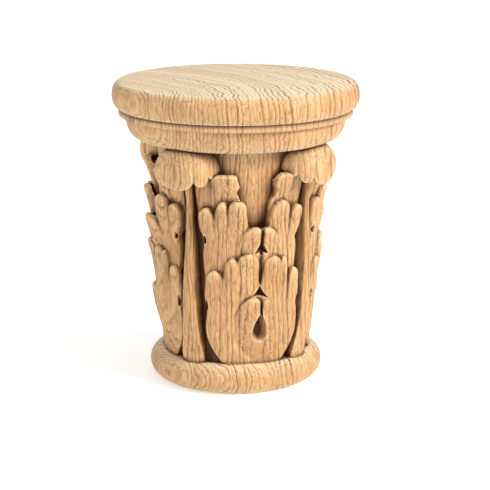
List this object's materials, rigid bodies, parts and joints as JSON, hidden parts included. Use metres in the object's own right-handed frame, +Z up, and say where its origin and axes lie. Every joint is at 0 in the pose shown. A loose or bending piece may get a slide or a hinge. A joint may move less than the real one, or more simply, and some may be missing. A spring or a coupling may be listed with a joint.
{
  "type": "wooden column capital",
  "caption": "Round carved wooden column capital with acanthus leaves, stems with scroll hoods, a base ring and a round moulded abacus.",
  "frame": {"origin": "centre of the flat underside of the base ring", "axes": "+Z up along the column's axis, -Y straight out through the middle of one leaf, so the stems and hoods stand on the diagonals"},
  "size_m": [0.1224, 0.1224, 0.15],
  "materials": {
    "wood": "bare sanded blond wood with open vertical grain"
  },
  "bodies": {
    "root": {"capital": "wood"}
  },
  "joints": []
}
